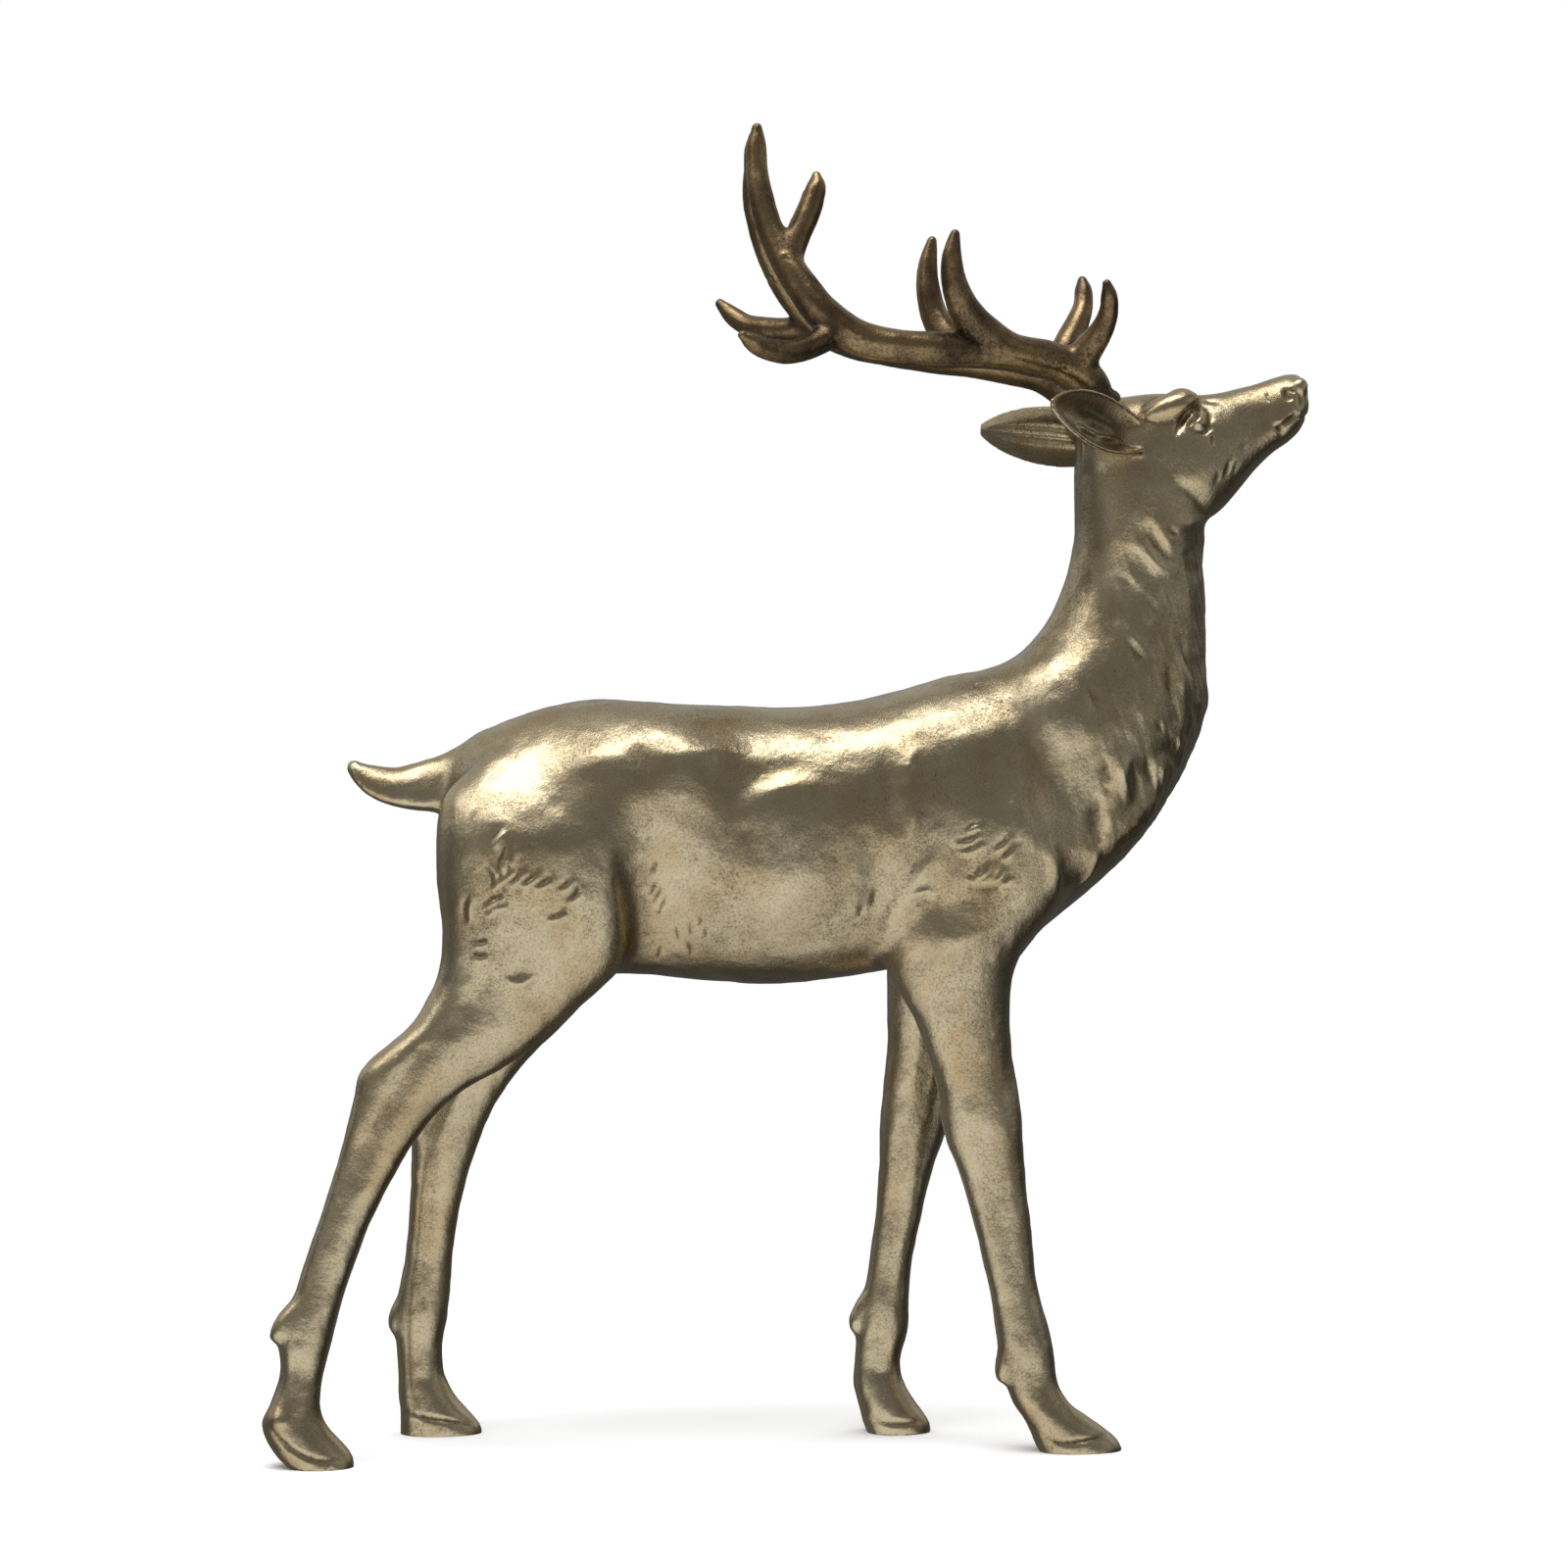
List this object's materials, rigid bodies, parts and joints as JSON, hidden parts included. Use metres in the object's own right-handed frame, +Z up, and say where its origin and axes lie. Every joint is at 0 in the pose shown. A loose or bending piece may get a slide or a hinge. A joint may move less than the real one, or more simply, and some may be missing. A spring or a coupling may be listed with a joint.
{
  "type": "standing stag figurine",
  "caption": "Cast tabletop stag standing with its head raised, with branching antlers plugged into the skull, in an antiqued pale metallic finish.",
  "frame": {"origin": "on the ground under the middle of the figure's length and width, at the level of the hoof soles", "axes": "+X the way the stag faces, +Y its left side, +Z up"},
  "size_m": [0.3547, 0.1101, 0.4488],
  "materials": {
    "body": "antiqued champagne metallic, satin, with a brown patina in the hollows",
    "antler": "dark antique bronze with gold rubbed onto the high places and worn tips"
  },
  "bodies": {
    "root": {"deer": "body", "antler_right": "antler", "antler_left": "antler"}
  },
  "joints": []
}
